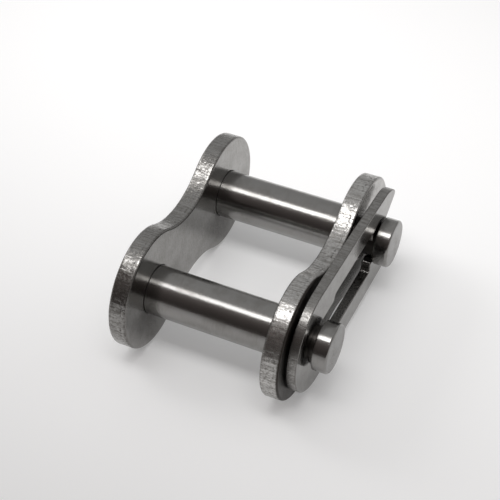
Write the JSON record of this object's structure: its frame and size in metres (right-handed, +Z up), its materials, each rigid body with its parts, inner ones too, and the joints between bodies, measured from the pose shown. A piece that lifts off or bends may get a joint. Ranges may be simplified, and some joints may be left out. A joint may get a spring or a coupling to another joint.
{
  "type": "roller chain connecting link",
  "caption": "Spring-clip connecting link that joins the two ends of a roller chain: pins riveted in one side plate, a loose plate and a flat clip.",
  "frame": {"origin": "on the surface that the lobes of the two side plates stand on, under the middle of the link's overall length, width and depth", "axes": "+X along the pins, from their riveted ends to the clip; +Y along the chain, towards the clip's open end; +Z up, across the side plates"},
  "size_m": [0.017, 0.0226, 0.0099],
  "materials": {
    "plate_steel": "blanked stainless steel, tumbled to a satin polish, rough sheared rims",
    "pin_steel": "turned and polished stainless steel",
    "clip_steel": "stamped stainless spring steel, tumbled to a satin polish"
  },
  "bodies": {
    "pin_link": {"pin_link_plate": "plate_steel", "front_pin": "pin_steel", "rear_pin": "pin_steel", "spring_clip": "clip_steel"},
    "loose_plate": {"connecting_plate": "plate_steel"}
  },
  "joints": [
    {"name": "plate_slide", "type": "slide", "parent": "pin_link", "child": "loose_plate", "axis": [1, 0, 0], "range_m": [-0.01105, 0.0001]}
  ]
}
